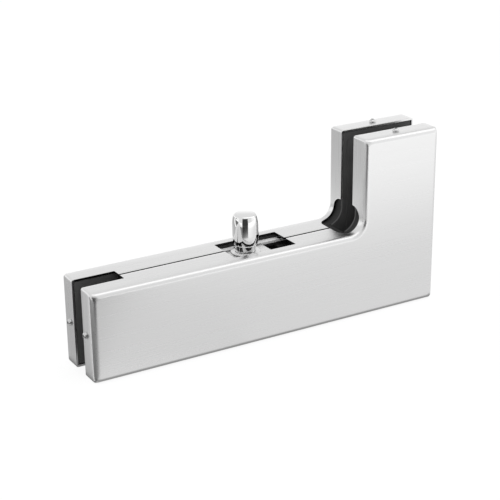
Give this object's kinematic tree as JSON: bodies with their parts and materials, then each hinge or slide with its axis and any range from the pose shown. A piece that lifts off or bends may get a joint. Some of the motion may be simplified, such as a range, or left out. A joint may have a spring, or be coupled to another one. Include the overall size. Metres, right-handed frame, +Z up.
{
  "type": "pivot patch fitting",
  "caption": "L-shaped glass door corner patch in brushed steel: two covers over clamp halves grip the glass, and a polished barrel pin on a sliding carrier is the pivot.",
  "frame": {"origin": "under the middle of the arm's length, in the middle plane of the glass, on the surface that the long edge stands on", "axes": "+X along the arm from its free end to the upright, +Y across the glass from the front cover to the rear one, +Z up along the pivot pin"},
  "size_m": [0.2241, 0.0376, 0.1081],
  "materials": {
    "brushed_cover": "fine brush lines along the arm, satin",
    "black_body": "cast aluminium with a matt black coating",
    "gasket": "matt black fibre rubber",
    "bright_steel": "bright ground steel",
    "zinc_screw": "zinc-plated steel",
    "nylon": "plain moulded nylon",
    "bush": "turned steel",
    "polished_pin": "mirror polished",
    "spring_steel": "dark spring steel"
  },
  "bodies": {
    "fitting": {"front_cover": "brushed_cover", "rear_cover": "brushed_cover", "front_clamp_body": "black_body", "rear_clamp_body": "black_body", "front_gasket": "gasket", "rear_gasket": "gasket", "front_guide_strip": "bright_steel", "rear_guide_strip": "bright_steel", "strip_screws": "zinc_screw", "clamp_screws": "zinc_screw", "clamp_washers": "zinc_screw", "locating_dowels": "bright_steel", "glass_sleeve": "nylon", "lock_screws": "zinc_screw", "cover_screws": "zinc_screw"},
    "carrier": {"pivot_carrier": "bright_steel", "pivot_bush": "bush", "thrust_washer": "bush"},
    "pivot": {"pivot_pin": "polished_pin", "retaining_ring": "spring_steel"}
  },
  "joints": [
    {"name": "carrier_slide", "type": "slide", "parent": "fitting", "child": "carrier", "axis": [1, 0, 0], "range_m": [-0.005, 0.01]},
    {"name": "pivot_turn", "type": "hinge", "parent": "carrier", "child": "pivot", "pos_m": [-0.008, 0, 0.0617], "axis": [0, 0, 1], "continuous": true}
  ]
}
